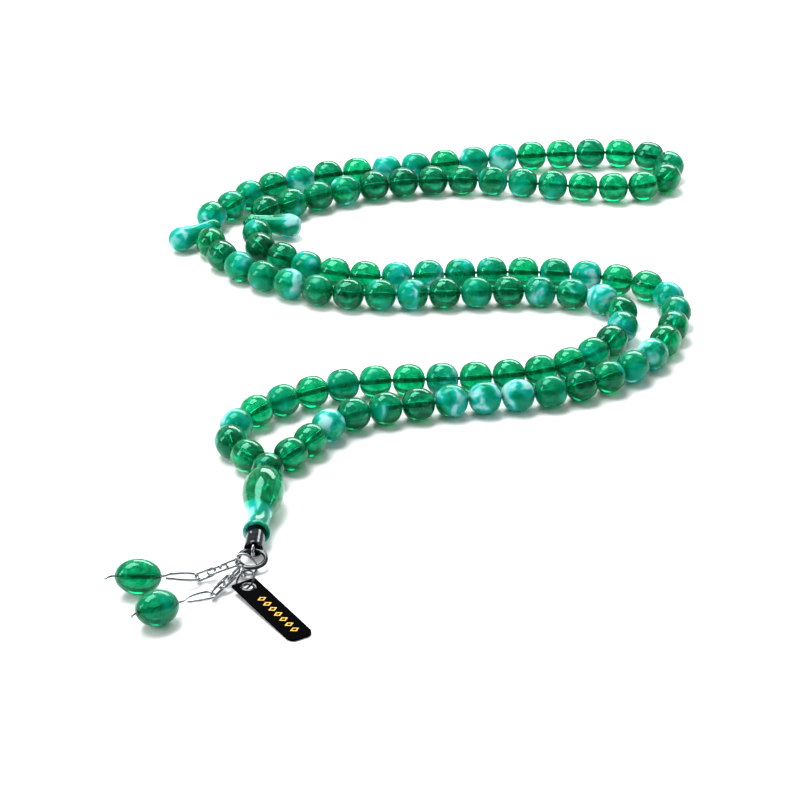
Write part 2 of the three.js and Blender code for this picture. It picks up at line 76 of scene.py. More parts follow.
LEFT_ROUTE = [
    (-40.5, -47.6), (-44.6, -41), (-43.6, -32.8), (-39, -26), (-32.6, -20.6), (-18, -13),
    (-2.3, -10.9), (13.5, -9.6), (29.2, -5.6), (42, 4.6), (48.4, 18.4), (47.2, 26.8),
    (42.2, 31.8), (26.6, 35.3), (10.5, 34.7), (-5.3, 33.6), (-21, 34.3), (-35, 40.4),
    (-46, 48.9), (-51, 55.6), (-54.4, 64),
]
RIGHT_ROUTE = [
    (-30.8, -46.8), (-26.4, -40), (-22.4, -33.2), (-16.6, -27.8), (-1.1, -22.8), (14.5, -19.8),
    (30.4, -16.4), (45.2, -8), (55.4, 3.8), (60.8, 19), (61.2, 27.8), (58.6, 35.2),
    (52.2, 40.2), (37.4, 44.6), (21.6, 46), (5.5, 44.9), (-10, 43.2), (-24.6, 46.6),
    (-36.2, 54.8), (-41.6, 60.4), (-42.4, 67.8),
]
FAR_ROUTE = [
    (-54.4, 78.2), (-49.6, 84.6), (-45, 91.2), (-39.1, 96.4), (-24.6, 103.4), (-9.2, 106.6),
    (6.3, 110.4), (22, 114.2), (37.9, 116.6), (53.6, 117), (62.8, 113.6), (65.8, 105.4),
    (60.4, 97.8), (50.4, 95.6), (34.2, 97.2), (18.9, 99.6), (3.4, 100), (-12, 97),
    (-25, 91.6), (-33.4, 86.4), (-38.6, 81.8),
]
GATHERING_AT = Vector((-35.8, -54.1, 4.1))
IMAME_AT = Vector((-36, -58.6, 5.45))
IMAME_ALONG = Vector((-0.067, -0.992, -0.104)).normalized()
GATHERING_ALONG = (IMAME_AT - GATHERING_AT).normalized()
GATHERING_MOUTH = GATHERING_AT - GATHERING_ALONG * (BEAD_HALF + GAP)

SEPARATOR_NECK_R = 2.05
LEFT_SEPARATOR = {
    "hole": Vector((-54, 71.6, STRING_Z)),
    "fat": Vector((-61.8, 65.7, 3.35)),
    "bore": Vector((-0.42, 0.91, 0)).normalized(),
}
RIGHT_SEPARATOR = {
    "hole": Vector((-44, 74.6, STRING_Z)),
    "fat": Vector((-34.2, 73.7, 3.35)),
    "bore": Vector((0.09, 0.996, 0)).normalized(),
}

# How each bead is marbled, from the imame outwards and then round the far loop:
# c clear, d clear and deep, s streaked, m milky.
LEFT_MARBLING = "csmcscsccmcccssdmsmmmdsdmsdsmssdc"
RIGHT_MARBLING = "dsmdsdmmmsdsmmcssmccmscsmmmccmdds"
FAR_MARBLING = "msssmdcmmcmmccscdsccccsssddddmssd"
# Milkiness, and how deep the green is.
MARBLING = {"c": (0.06, 0.3), "d": (0.0, 0.95), "s": (0.5, 0.6), "m": (0.82, 0.3)}


# ---- Places of the beads ----
def catmull_rom(points, t):
    """A point of a centripetal curve through all the points, t from 0 to 1."""
    last = len(points) - 1
    at = min(max(t, 0), 1) * last
    i = min(int(at), last - 1)
    w = at - i
    p1, p2 = points[i], points[i + 1]
    p0 = points[i - 1] if i > 0 else 2 * p1 - p2
    p3 = points[i + 2] if i + 2 <= last else 2 * p2 - p1
    d0, d1, d2 = [math.sqrt((b - a).length) for a, b in ((p0, p1), (p1, p2), (p2, p3))]
    leave = ((p1 - p0) / d0 - (p2 - p0) / (d0 + d1) + (p2 - p1) / d1) * d1
    arrive = ((p2 - p1) / d1 - (p3 - p1) / (d1 + d2) + (p3 - p2) / d2) * d1
    square = -3 * p1 + 3 * p2 - 2 * leave - arrive
    cube = 2 * p1 - 2 * p2 + leave + arrive
    return p1 + leave * w + square * w**2 + cube * w**3


def evenly(points, steps):
    """steps + 1 points spaced evenly along the curve through the given ones."""
    ends = [catmull_rom(points, k / ARC_STEPS) for k in range(ARC_STEPS + 1)]
    lengths = [0.0]
    for a, b in zip(ends, ends[1:]):
        lengths.append(lengths[-1] + (b - a).length)
    found, k = [], 0
    for step in range(steps + 1):
        want = lengths[-1] * step / steps
        while k < ARC_STEPS - 1 and lengths[k + 1] < want:
            k += 1
        part = (want - lengths[k]) / (lengths[k + 1] - lengths[k])
        found.append(catmull_rom(points, (k + part) / ARC_STEPS))
    return found


def bead_places(route):
    walk = evenly([Vector((x, y, STRING_Z)) for x, y in route], WALK_STEPS)
    places = [walk[0]]
    for point in walk:
        if len(places) == BEADS_IN_SECTION:
            break
        if (point - places[-1]).length >= BEAD_PITCH:
            places.append(point)
    while len(places) < BEADS_IN_SECTION:
        places.append(places[-1] + (places[-1] - places[-2]).normalized() * BEAD_PITCH)
    return places


def section(route, before, after):
    places = bead_places(route)
    chain = [before, *places, after]
    axes = [(chain[i + 2] - chain[i]).normalized() for i in range(len(places))]
    return places, axes


def bore_mouth(separator, side):
    return separator["hole"] + separator["bore"] * side * (SEPARATOR_NECK_R + GAP)


LEFT = section(LEFT_ROUTE, GATHERING_MOUTH, bore_mouth(LEFT_SEPARATOR, -1))
RIGHT = section(RIGHT_ROUTE, GATHERING_MOUTH, bore_mouth(RIGHT_SEPARATOR, -1))
FAR = section(FAR_ROUTE, bore_mouth(LEFT_SEPARATOR, 1), bore_mouth(RIGHT_SEPARATOR, 1))


# ---- Materials ----
def linear(hex_colour):
    """A hex sRGB colour as linear RGBA."""
    channels = [int(hex_colour[i : i + 2], 16) / 255 for i in (1, 3, 5)]
    return (*[c / 12.92 if c <= 0.04045 else ((c + 0.055) / 1.055) ** 2.4 for c in channels], 1)


def add(tree, kind, inputs=None, stops=(), **settings):
    """A node with its settings: an input is a value or another node's output, stops a ramp's."""
    node = tree.nodes.new(kind)
    for name, value in settings.items():
        setattr(node, name, value)
    for name, value in (inputs or {}).items():
        if isinstance(value, bpy.types.NodeSocket):
            tree.links.new(value, node.inputs[name])
        else:
            node.inputs[name].default_value = value
    if stops:
        elements = node.color_ramp.elements
        for position, colour in stops:
            elements.new(position).color = linear(colour)
        elements.remove(elements[-1])
        elements.remove(elements[0])
    return node


def material(name, **uniform):
    """A new material, its node tree and its one shader with uniform values set."""
    made = bpy.data.materials.new(name)
    made.use_nodes = True
    tree = made.node_tree
    tree.nodes.clear()
    shader = add(tree, "ShaderNodeBsdfPrincipled", uniform)
    output = add(tree, "ShaderNodeOutputMaterial")
    tree.links.new(shader.outputs[0], output.inputs["Surface"])
    return made, tree, shader


def marbled_resin():
    """Polished poured resin: clear green with milky turquoise veils that differ from bead to bead.

    The dye lies right under the polish, so even the surface glints a little green. The noises run
    on each piece's own millimetres: a scale of 0.1 makes folds about 10 mm wide.
    """
    made, tree, shader = material(
        "polished_marbled_resin",
        **{"IOR": 1.5, "Specular IOR Level": 0.2, "Specular Tint": linear("#8CFFE0")},
    )
    local = add(tree, "ShaderNodeAttribute", attribute_name="local").outputs["Vector"]
    milk, depth, seed = [
        add(tree, "ShaderNodeAttribute", attribute_name=name).outputs["Fac"]
        for name in ("milk", "depth", "seed")
    ]
    step = add(tree, "ShaderNodeMath", {0: seed, 1: 37.0}, operation="MULTIPLY").outputs[0]
    apart = add(tree, "ShaderNodeVectorMath", {0: local, 1: step}, operation="ADD").outputs[0]

    # The veils: a few broad folds across each piece, drawn out by a second noise.
    warp = add(tree, "ShaderNodeTexNoise", {"Vector": apart, "Scale": 0.16, "Detail": 1.0})
    push = add(
        tree, "ShaderNodeVectorMath", {0: warp.outputs["Color"], "Scale": 7.0}, operation="SCALE"
    ).outputs[0]
    bent = add(tree, "ShaderNodeVectorMath", {0: apart, 1: push}, operation="ADD").outputs[0]
    folds = add(
        tree, "ShaderNodeTexNoise", {"Vector": bent, "Scale": 0.1, "Detail": 1.5}
    ).outputs["Fac"]
    lifted = add(
        tree, "ShaderNodeMath", {0: milk, 1: 0.34, 2: folds}, operation="MULTIPLY_ADD"
    ).outputs[0]
    veil = add(
        tree,
        "ShaderNodeMath",
        {0: lifted, 1: 5.5, 2: -3.3},
        operation="MULTIPLY_ADD",
        use_clamp=True,
    ).outputs[0]

    # Inside the veils the turquoise drifts from green through cyan to near-white patches, whiter
    # where a piece is milkier.
    drift = add(
        tree, "ShaderNodeTexNoise", {"Vector": bent, "Scale": 0.2, "Detail": 2.0, "Roughness": 0.5}
    ).outputs["Fac"]
    whiter = add(
        tree, "ShaderNodeMath", {0: milk, 1: 0.45, 2: -0.36}, operation="MULTIPLY_ADD"
    ).outputs[0]
    level = add(tree, "ShaderNodeMath", {0: drift, 1: whiter}, operation="ADD").outputs[0]
    milky = add(
        tree,
        "ShaderNodeValToRGB",
        {"Fac": level},
        stops=[(0.38, "#008A62"), (0.48, "#00A484"), (0.56, "#14B6AC"), (0.66, "#A6E8E6")],
    ).outputs["Color"]

    # Flakes under 2 mm wide in the clear part, so that it glints from within.
    glint = add(
        tree, "ShaderNodeTexNoise", {"Vector": bent, "Scale": 0.55, "Detail": 4.0, "Roughness": 0.6}
    ).outputs["Fac"]
    shallow = add(
        tree,
        "ShaderNodeValToRGB",
        {"Fac": glint},
        stops=[(0.36, "#007F4C"), (0.52, "#00A562"), (0.66, "#08D488")],
    ).outputs["Color"]
    deep = add(
        tree,
        "ShaderNodeValToRGB",
        {"Fac": glint},
        stops=[(0.38, "#00573A"), (0.55, "#008452"), (0.68, "#00BC7A")],
    ).outputs["Color"]
    clear = add(
        tree, "ShaderNodeMix", {"Factor": depth, 6: shallow, 7: deep}, data_type="RGBA"
    ).outputs[2]
    colour = add(
        tree, "ShaderNodeMix", {"Factor": veil, 6: clear, 7: milky}, data_type="RGBA"
    ).outputs[2]
    tree.links.new(colour, shader.inputs["Base Color"])
    through = add(
        tree, "ShaderNodeMath", {0: veil, 1: -0.42, 2: 0.74}, operation="MULTIPLY_ADD"
    ).outputs[0]
    tree.links.new(through, shader.inputs["Transmission Weight"])
    rough = add(
        tree, "ShaderNodeMath", {0: veil, 1: 0.09, 2: 0.045}, operation="MULTIPLY_ADD"
    ).outputs[0]
    tree.links.new(rough, shader.inputs["Roughness"])
    return made


def plated_steel(name, dark, light):
    """Plating on drawn wire: near-mirror, with faint draw marks that break up its reflections.

    The marks are about 1 mm apart, coarser than real ones, so that they show.
    """
    made, tree, shader = material(name, Metallic=1.0)
    here = add(tree, "ShaderNodeTexCoord").outputs["Object"]
    marks = add(
        tree, "ShaderNodeTexNoise", {"Vector": here, "Scale": 900.0, "Detail": 3.0}
    ).outputs["Fac"]
    tint = add(tree, "ShaderNodeValToRGB", {"Fac": marks}, stops=[(0.3, dark), (0.7, light)])
    tree.links.new(tint.outputs["Color"], shader.inputs["Base Color"])
    rough = add(tree, "ShaderNodeMath", {0: marks, 1: 0.12, 2: 0.05}, operation="MULTIPLY_ADD")
    tree.links.new(rough.outputs[0], shader.inputs["Roughness"])
    bump = add(tree, "ShaderNodeBump", {"Height": marks, "Strength": 0.08, "Distance": 5e-5})
    tree.links.new(bump.outputs[0], shader.inputs["Normal"])
    return made


def black_enamelled_wire():
    """Thin black enamel on wire: a dark gloss whose sheen wavers every 0.7 mm or so."""
    made, tree, shader = material("black_enamelled_wire")
    here = add(tree, "ShaderNodeTexCoord").outputs["Object"]
    film = add(
        tree, "ShaderNodeTexNoise", {"Vector": here, "Scale": 1400.0, "Detail": 2.0}
    ).outputs["Fac"]
    tint = add(
        tree, "ShaderNodeValToRGB", {"Fac": film}, stops=[(0.35, "#0B0B0D"), (0.7, "#1D1D20")]
    )
    tree.links.new(tint.outputs["Color"], shader.inputs["Base Color"])
    rough = add(tree, "ShaderNodeMath", {0: film, 1: 0.2, 2: 0.2}, operation="MULTIPLY_ADD")
    tree.links.new(rough.outputs[0], shader.inputs["Roughness"])
    return made


def twisted_green_cord():
    """Two-ply green nylon: a matt cord with fine light and dark fibres.

    The fibres are 0.2 mm wide, coarser than real ones, so that they show.
    """
    made, tree, shader = material("twisted_green_nylon", **{"Sheen Weight": 0.3})
    here = add(tree, "ShaderNodeTexCoord").outputs["Object"]
    fibre = add(
        tree, "ShaderNodeTexNoise", {"Vector": here, "Scale": 5200.0, "Detail": 3.0}
    ).outputs["Fac"]
    tint = add(
        tree,
        "ShaderNodeValToRGB",
        {"Fac": fibre},
        stops=[(0.3, "#0B3A26"), (0.52, "#1B6A49"), (0.75, "#4FA37F")],
    )
    tree.links.new(tint.outputs["Color"], shader.inputs["Base Color"])
    rough = add(tree, "ShaderNodeMath", {0: fibre, 1: 0.3, 2: 0.6}, operation="MULTIPLY_ADD")
    tree.links.new(rough.outputs[0], shader.inputs["Roughness"])
    bump = add(tree, "ShaderNodeBump", {"Height": fibre, "Strength": 0.5, "Distance": 5e-5})
    tree.links.new(bump.outputs[0], shader.inputs["Normal"])
    return made


RESIN = marbled_resin()
STEEL = plated_steel("bright_plated_steel", "#83878B", "#A9ACAF")
# A second copy of the same plated steel with its colour darkened. These are painted dark reflections:
# they stand in for dark surroundings mirrored in the ferrule, the split ring and the eyelet.
STEEL_PAINTED_DARK = plated_steel("plated_steel_painted_dark", "#303236", "#4C4F53")
ENAMEL = black_enamelled_wire()
NYLON = twisted_green_cord()


# ---- Meshes ----
def plain_object(name, points, faces, finish, sharp=40):
    """A closed mesh from points in millimetres, faces outward, its object at the origin."""
    mesh = bpy.data.meshes.new(name)
    mesh.from_pydata([Vector(p) * MM for p in points], [], faces)
    work = bmesh.new()
    work.from_mesh(mesh)
    bmesh.ops.recalc_face_normals(work, faces=work.faces)
    work.to_mesh(mesh)
    work.free()
    mesh.shade_smooth()
    mesh.set_sharp_from_angle(angle=math.radians(sharp))
    mesh.materials.append(finish)
    obj = bpy.data.objects.new(name, mesh)
    bpy.context.scene.collection.objects.link(obj)
    return obj


def settle(obj, body, nodes):
    """The piece rides on a body and stands for these CAD nodes."""
    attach(obj, body)
    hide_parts(*nodes)


def give(obj, name, values):
    """A float attribute on a mesh's points, one value each or the same for all."""
    layer = obj.data.attributes.new(name, "FLOAT", "POINT")
    count = len(obj.data.vertices)
    layer.data.foreach_set("value", [values] * count if isinstance(values, float) else values)


def give_local(obj, points):
    layer = obj.data.attributes.new("local", "FLOAT_VECTOR", "POINT")
    layer.data.foreach_set("vector", [c for p in points for c in p])


def marbled(obj, points, milk, depth, seed):
    give_local(obj, points)
    give(obj, "milk", milk)
    give(obj, "depth", depth)
    give(obj, "seed", seed)


def basis(at, x, y, z):
    turn = Matrix((x, y, z)).transposed().to_4x4()
    return Matrix.Translation(at) @ turn


def frame_along(at, along):
    """A frame whose +Y points along a direction, with its +X level."""
    y = along.normalized()
    x = y.cross(UP).normalized()
    return basis(at, x, y, x.cross(y))


def lathe(outline, sides, bored):
    """Points and faces turned about +Y from (radius, height) pairs; a bored outline is a loop."""
    points, rings = [], []
    for r, y in outline:
        start = len(points)
        if r < 1e-6:
            points.append(Vector((0, y, 0)))
            rings.append([start] * sides)
            continue
        turns = [2 * math.pi * k / sides for k in range(sides)]
        points += [Vector((r * math.cos(a), y, r * math.sin(a))) for a in turns]
        rings.append(list(range(start, start + sides)))
    faces = []
    for a, b in zip(rings, rings[1:] + (rings[:1] if bored else [])):
        for k in range(sides):
            j = (k + 1) % sides
            face = list(dict.fromkeys([a[k], b[k], b[j], a[j]]))
            if len(face) > 2:
                faces.append(face)
    return points, faces


def smooth_outline(pairs, per_span):
    """More points through the given (radius, height) pairs, rounded between them."""
    given = [Vector((r, y, 0)) for r, y in pairs]
    count = (len(given) - 1) * per_span
    fine = [catmull_rom(given, k / count) for k in range(count + 1)]
    return [(max(p.x, 0.0), p.y) for p in fine]


PLY_GROOVE = 0.16  # the depth of the groove between two plies, as a part of the radius
GROOVE_SHARPNESS = 6


def tube(path, radius, sides, closed, lobes=0, twist=0.0):
    """A round wire along a path, or a twisted cord if it has lobes."""
    count = len(path)
    after = [path[(k + 1) % count] if closed or k < count - 1 else path[k] for k in range(count)]
    before = [path[k - 1] if closed or k > 0 else path[k] for k in range(count)]
    tangents = [(b - a).normalized() for a, b in zip(before, after)]
    side = tangents[0].orthogonal().normalized()
    sides_at = [side]
    for a, b in zip(tangents, tangents[1:]):
        sides_at.append(a.rotation_difference(b) @ sides_at[-1])
    slip = 0.0
    if closed:
        home = tangents[-1].rotation_difference(tangents[0]) @ sides_at[-1]
        slip = math.atan2(home.cross(side).dot(tangents[0]), home.dot(side))
    points, run = [], 0.0
    for k, (at, tangent, u) in enumerate(zip(path, tangents, sides_at)):
        run += (at - path[k - 1]).length if k else 0.0
        u = Quaternion(tangent, slip * k / count + twist * run) @ u
        v = tangent.cross(u)
        for j in range(sides):
            a = 2 * math.pi * j / sides
            groove = math.cos(lobes * a / 2) ** GROOVE_SHARPNESS if lobes else 0.0
            r = radius * (1 - PLY_GROOVE * groove)
            points.append(at + u * r * math.cos(a) + v * r * math.sin(a))
    faces = []
    for k in range(count if closed else count - 1):
        for j in range(sides):
            here, there = k * sides, (k + 1) % count * sides
            nxt = (j + 1) % sides
            faces.append([here + j, here + nxt, there + nxt, there + j])
    if not closed:
        faces.append(list(range(sides)))
        faces.append(list(range((count - 1) * sides, count * sides)))
    return points, faces


# ---- The cord: five lengths, each riding the part of the string that it threads ----
CORD_STEP = 0.6
CORD_TWIST = 2 * math.pi / 3.2  # one turn of the two plies in 3.2 mm


def bend_after(places, axes, i):
    leave = places[i] + axes[i] * BEAD_HALF
    enter = places[i + 1] - axes[i + 1] * BEAD_HALF
    return leave.lerp(enter, 0.5)


def bends(places, axes, start, end):
    return [bend_after(places, axes, start + i - 1) for i in range(end - start)]


def short_of(end, towards):
    return end + (towards - end).normalized() * FOLD_GAP


def laid_cord(name, corners, body):
    path = [corners[0]]
    for a, b in zip(corners, corners[1:]):
        steps = max(1, round((b - a).length / CORD_STEP))
        path += [a.lerp(b, k / steps) for k in range(1, steps + 1)]
    points, faces = tube(path, CORD_R, 12, closed=False, lobes=2, twist=CORD_TWIST)
    obj = plain_object(name, points, faces, NYLON, sharp=80)
    settle(obj, body, [name.replace("nylon", "cord")])


def strand_cords(side, places_axes, separator, fold, offset):
    places, axes = places_axes
    fold_point = bend_after(places, axes, fold - 1)
    beside = Vector((offset, 0, 0))
    near = [
        GATHERING_AT + GATHERING_ALONG * (BEAD_HALF + GAP) + beside,
        GATHERING_MOUTH + beside,
        places[0] - axes[0] * BEAD_HALF,
        *bends(places, axes, 1, fold),
    ]
    laid_cord(f"nylon_{side}_near", [*near, short_of(fold_point, near[-1])], "string_near")
    onward = bends(places, axes, fold + 1, BEADS_IN_SECTION)
    enter, leave = bore_mouth(separator, -1), bore_mouth(separator, 1)
    middle = [
        short_of(fold_point, onward[0]),
        *onward,
        places[-1] + axes[-1] * BEAD_HALF,
        enter,
        short_of(leave, enter),
    ]
    laid_cord(f"nylon_{side}_middle", middle, "string_middle")


def far_cord(places, axes):
    start, end = bore_mouth(LEFT_SEPARATOR, 1), bore_mouth(RIGHT_SEPARATOR, 1)
    enter = places[0] - axes[0] * BEAD_HALF
    leave = places[-1] + axes[-1] * BEAD_HALF
    inner = bends(places, axes, 1, BEADS_IN_SECTION)
    corners = [short_of(start, enter), enter, *inner, leave, short_of(end, leave)]
    laid_cord("nylon_far", corners, "string_far")


strand_cords("left", LEFT, LEFT_SEPARATOR, 17, -STRAND_OFFSET)
strand_cords("right", RIGHT, RIGHT_SEPARATOR, 16, STRAND_OFFSET)
far_cord(*FAR)


# ---- Beads: one turned bead, laid out by a rule at every place on the string ----
MOUTH_ANGLE = 14  # degrees from a bead's axis to the rim of its bore


def bored_ball(r, reach, bore_r, fullness, ease, mouth_depth, count):
    """A bead's outline with eased mouths and a straight bore, as (radius, height) pairs."""
    span = 180 - 2 * MOUTH_ANGLE
    ball = []
    for k in range(count + 1):
        a = math.radians(MOUTH_ANGLE + span * k / count)
        far_out = math.sin(a) ** (2 / fullness)
        far_along = math.copysign(abs(math.cos(a)) ** (2 / fullness), -math.cos(a))
        ball.append((r * far_out, reach * far_along))
    rim = -ball[0][1]
    mouth = [(bore_r, mouth_depth - rim), (bore_r + ease, -rim - 0.02)]
    return [*mouth, *ball, *[(a, -b) for a, b in reversed(mouth)]]


def pattern_bead():
    outline = bored_ball(BEAD_R, BEAD_REACH, BEAD_BORE_R, BEAD_FULLNESS, 0.12, 0.1, 22)
    points, faces = lathe(outline, 28, bored=True)
    obj = plain_object("bead_pattern", points, faces, RESIN)
    give_local(obj, points)
    return obj


def bead_layout_tree():
    """The rule: the pattern bead at every point, along its axis, turned about it at random."""
    tree = bpy.data.node_groups.new("beads_on_the_string", "GeometryNodeTree")
    face = tree.interface
    sockets = {
        "places": face.new_socket("Places", in_out="INPUT", socket_type="NodeSocketGeometry"),
        "bead": face.new_socket("Bead", in_out="INPUT", socket_type="NodeSocketObject"),
        "seed": face.new_socket("Seed", in_out="INPUT", socket_type="NodeSocketInt"),
        "finish": face.new_socket("Finish", in_out="INPUT", socket_type="NodeSocketMaterial"),
    }
    face.new_socket("Beads", in_out="OUTPUT", socket_type="NodeSocketGeometry")
    given = add(tree, "NodeGroupInput")
    points = add(tree, "GeometryNodeMeshToPoints", {"Mesh": given.outputs["Places"]})
    bead = add(tree, "GeometryNodeObjectInfo", {"Object": given.outputs["Bead"]})
    spin = add(
        tree,
        "FunctionNodeRandomValue",
        {2: 0.0, 3: 2 * math.pi, "Seed": given.outputs["Seed"]},
        data_type="FLOAT",
    )
    about = add(
        tree, "FunctionNodeAxisAngleToRotation", {"Axis": (0, 1, 0), "Angle": spin.outputs[1]}
    )
    lie = add(
        tree, "GeometryNodeInputNamedAttribute", {"Name": "turn"}, data_type="FLOAT_VECTOR"
    )
    along = add(tree, "FunctionNodeEulerToRotation", {0: lie.outputs[0]})
    turn = add(
        tree,
        "FunctionNodeRotateRotation",
        {0: along.outputs[0], 1: about.outputs[0]},
        rotation_space="LOCAL",
    )
    placed = add(
        tree,
        "GeometryNodeInstanceOnPoints",
        {
            "Points": points.outputs[0],
            "Instance": bead.outputs["Geometry"],
            "Rotation": turn.outputs[0],
        },
    )
    real = add(tree, "GeometryNodeRealizeInstances", {0: placed.outputs[0]})
    finished = add(
        tree,
        "GeometryNodeSetMaterial",
        {"Geometry": real.outputs[0], "Material": given.outputs["Finish"]},
    )
    output = add(tree, "NodeGroupOutput")
    tree.links.new(finished.outputs[0], output.inputs[0])
    return tree, {name: socket.identifier for name, socket in sockets.items()}


PATTERN = pattern_bead()
LAYOUT, SOCKETS = bead_layout_tree()


def lay_beads(name, beads, seed, body, nodes):
    """beads are (place, axis, marbling letter, seed); they become one mesh on one body."""
    mesh = bpy.data.meshes.new(name)
    mesh.from_pydata([place * MM for place, *_ in beads], [], [])
    source = bpy.data.objects.new(name + "_places", mesh)
    bpy.context.scene.collection.objects.link(source)
    turns = mesh.attributes.new("turn", "FLOAT_VECTOR", "POINT")
    for row, (place, axis, _, _) in zip(turns.data, beads):
        row.vector = frame_along(place, axis).to_euler()
    give(source, "milk", [MARBLING[letter][0] for _, _, letter, _ in beads])
    give(source, "depth", [MARBLING[letter][1] for _, _, letter, _ in beads])
    give(source, "seed", [float(own) for *_, own in beads])
    laid = source.modifiers.new("layout", "NODES")
    laid.node_group = LAYOUT
    laid[SOCKETS["bead"]] = PATTERN
    laid[SOCKETS["seed"]] = seed
    laid[SOCKETS["finish"]] = RESIN
    graph = bpy.context.evaluated_depsgraph_get()
    made = bpy.data.meshes.new_from_object(
        source.evaluated_get(graph), preserve_all_data_layers=True, depsgraph=graph
    )
    bpy.data.objects.remove(source)
    made.shade_smooth()
    made.set_sharp_from_angle(angle=math.radians(40))
    obj = bpy.data.objects.new(name, made)
    bpy.context.scene.collection.objects.link(obj)
    settle(obj, body, nodes)


def groups(side, firsts):
    return [f"{side}_beads_{i:02d}_to_{i + 3:02d}" for i in firsts]


NEAR_GROUPS = (1, 5, 9, 13)
MIDDLE_GROUPS = (18, 22, 26, 30)
SINGLE = 16  # the index of the one bead of each section that turns on its own


def listed(places_axes, marbling, first_seed):
    places, axes = places_axes
    return [
        (place, axis, letter, first_seed + i)
        for i, (place, axis, letter) in enumerate(zip(places, axes, marbling))
    ]


left_beads = listed(LEFT, LEFT_MARBLING, 1)
right_beads = listed(RIGHT, RIGHT_MARBLING, 101)
far_beads = listed(FAR, FAR_MARBLING, 201)
lay_beads(
    "beads_near", left_beads[:SINGLE] + right_beads[:SINGLE], 3, "string_near",
    groups("left", NEAR_GROUPS) + groups("right", NEAR_GROUPS),
)
lay_beads(
    "beads_middle", left_beads[SINGLE + 1 :] + right_beads[SINGLE + 1 :], 5, "string_middle",
    groups("left", MIDDLE_GROUPS) + groups("right", MIDDLE_GROUPS),
)
lay_beads(
    "beads_far", far_beads[:SINGLE] + far_beads[SINGLE + 1 :], 7, "string_far",
    groups("far", NEAR_GROUPS) + groups("far", MIDDLE_GROUPS),
)
lay_beads("single_left", [left_beads[SINGLE]], 11, "left_bead_17", ["left_bead_17"])
lay_beads("single_right", [right_beads[SINGLE]], 12, "right_bead_17", ["right_bead_17"])
lay_beads("single_far", [far_beads[SINGLE]], 13, "far_bead_17", ["far_bead_17"])
bpy.data.objects.remove(PATTERN)


# ---- Larger resin pieces ----
def resin_piece(name, outline, at, bored, milk, depth, seed, body, nodes):
    points, faces = lathe(outline, 56, bored)
    obj = plain_object(name, [at @ p for p in points], faces, RESIN, sharp=50)
    levels = milk(points) if callable(milk) else milk
    marbled(obj, points, levels, depth, seed)
    settle(obj, body, nodes)


def separators():
    """Pears with a full round end, bored crosswise through the narrow end."""
    outer = smooth_outline(
        [
            (0, -2.4), (1.25, -1.95), (1.95, -0.7), (2.05, 1.6), (2.28, 5), (2.8, 7.6),
            (3.08, 9.8), (2.5, 11.7), (1.35, 12.65), (0, 12.9),
        ],
        5,
    )
    for side, where, seed in (("left", LEFT_SEPARATOR, 61.0), ("right", RIGHT_SEPARATOR, 67.0)):
        at = frame_along(where["hole"], where["fat"] - where["hole"])
        points, faces = lathe(outer, 56, bored=False)
        body = plain_object(f"pear_{side}", [at @ p for p in points], faces, RESIN)
        level = frame_along(where["hole"], where["bore"])
        drill_points, drill_faces = lathe([(0, -5), (0.8, -5), (0.8, 5), (0, 5)], 32, bored=False)
        drill = plain_object("drill", [level @ p for p in drill_points], drill_faces, RESIN)
        cut = body.modifiers.new("bore", "BOOLEAN")
        cut.object = drill
        cut.operation = "DIFFERENCE"
        cut.solver = "EXACT"
        graph = bpy.context.evaluated_depsgraph_get()
        bored = bpy.data.meshes.new_from_object(body.evaluated_get(graph))
        body.modifiers.clear()
        body.data = bored
        bpy.data.objects.remove(drill)
        back = at.inverted()
        local = [back @ (v.co / MM) for v in bored.vertices]
        milk = [min(1.0, 0.35 + 0.06 * max(p.y, 0)) for p in local]
        marbled(body, local, milk, 0.35, seed)
        bored.shade_smooth()
        bored.set_sharp_from_angle(angle=math.radians(35))
        settle(body, f"separator_{side}", [f"separator_{side}"])


separators()

GATHERING_OUTLINE = smooth_outline(
    [(1.4, -3.72), (2.3, -3.25), (3.3, -2.1), (3.82, 0), (3.3, 2.1), (2.3, 3.25), (1.4, 3.72)], 5
)
resin_piece(
    "gathering_resin",
    [(1.25, -3.66), *GATHERING_OUTLINE, (1.25, 3.66)],
    frame_along(GATHERING_AT, GATHERING_ALONG),
    True, 0.1, 0.85, 71.0, "gathering_bead", ["gathering_bead"],
)

IMAME_FRAME = frame_along(IMAME_AT, IMAME_ALONG)
IMAME_OUTLINE = smooth_outline(
    [
        (1.7, 0.4), (3.2, 1.2), (4.35, 3.6), (4.7, 6.7), (4.42, 9.5), (3.6, 12.4), (2.88, 15),
        (2.6, 17.3), (2.62, 19.4), (2.84, 20.9), (3.08, 21.7),
    ],
    6,
)


def imame_milk(points):
    """Clear in the bulb, milky turquoise in the lower neck."""
    return [min(1.0, max(0.12, (p.y - 10.5) / 4)) for p in points]


resin_piece(
    "imame_resin",
    [
        (1.15, 0.55), (1.4, 0.38), *IMAME_OUTLINE, (3.1, 22.05), (3.02, 22.35), (2.55, 22.4),
        (2.36, 22.3), (2.36, 20.4), (1.15, 19.8),
    ],
    IMAME_FRAME,
    True, imame_milk, 0.42, 83.0, "imame", ["imame"],
)


# ---- Inside the imame and the ferrule: the cord's tail and its knot ----
def tail_and_knot():
    start, end, radius = 0.75, 21.6, 0.8
    steps = 60
    run = [IMAME_FRAME @ Vector((0, start + (end - start) * k / steps, 0)) for k in range(steps + 1)]
    points, faces = tube(run, radius, 16, closed=False, lobes=4, twist=CORD_TWIST / 2)
    tail = plain_object("nylon_tail", points, faces, NYLON, sharp=80)
    settle(tail, "imame", ["tail_cord"])
    knot_outline = smooth_outline(
        [(0, 21.95), (0.8, 22.1), (1.32, 22.9), (1.02, 23.5), (1.3, 24.1), (0.75, 24.7), (0, 24.8)], 5
    )
    points, faces = lathe(knot_outline, 24, bored=False)
    knot = plain_object("nylon_knot", [IMAME_FRAME @ p for p in points], faces, NYLON, sharp=80)
    settle(knot, "imame", ["cord_knot"])


tail_and_knot()


